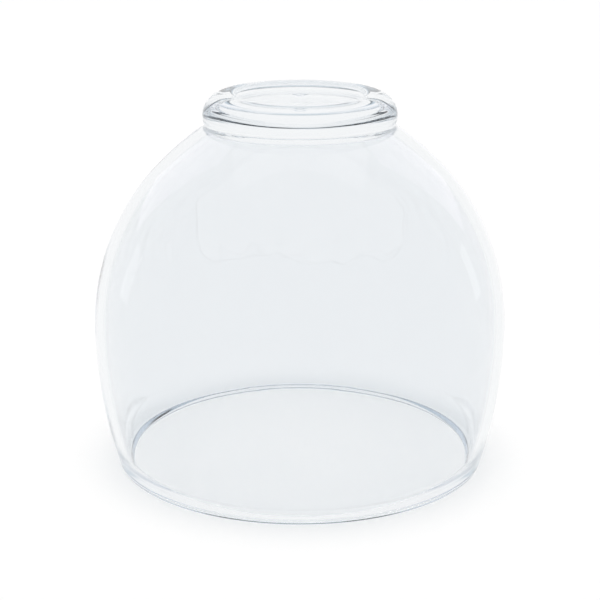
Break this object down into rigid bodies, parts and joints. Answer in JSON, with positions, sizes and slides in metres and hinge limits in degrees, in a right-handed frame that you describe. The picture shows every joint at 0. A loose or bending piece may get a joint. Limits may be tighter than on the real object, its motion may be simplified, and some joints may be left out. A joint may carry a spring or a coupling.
{
  "type": "crystallizing dish",
  "caption": "Clear glass dish with a bulbous body, an incurved mouth with a thick rounded lip, and a short thick foot with a shallow recess; it stands mouth down.",
  "frame": {"origin": "centre of the mouth in the plane that the lip stands on", "axes": "+Z along the axis of revolution, from the mouth up to the foot; X and Y are alike"},
  "size_m": [0.14, 0.14, 0.1264],
  "materials": {
    "clear_glass": "fire-polished clear colourless glass with a faint cool tint"
  },
  "bodies": {
    "root": {"mouth_lip": "clear_glass", "belly_wall": "clear_glass", "shoulder_wall": "clear_glass", "foot_ring": "clear_glass", "base_disc": "clear_glass"}
  },
  "joints": []
}
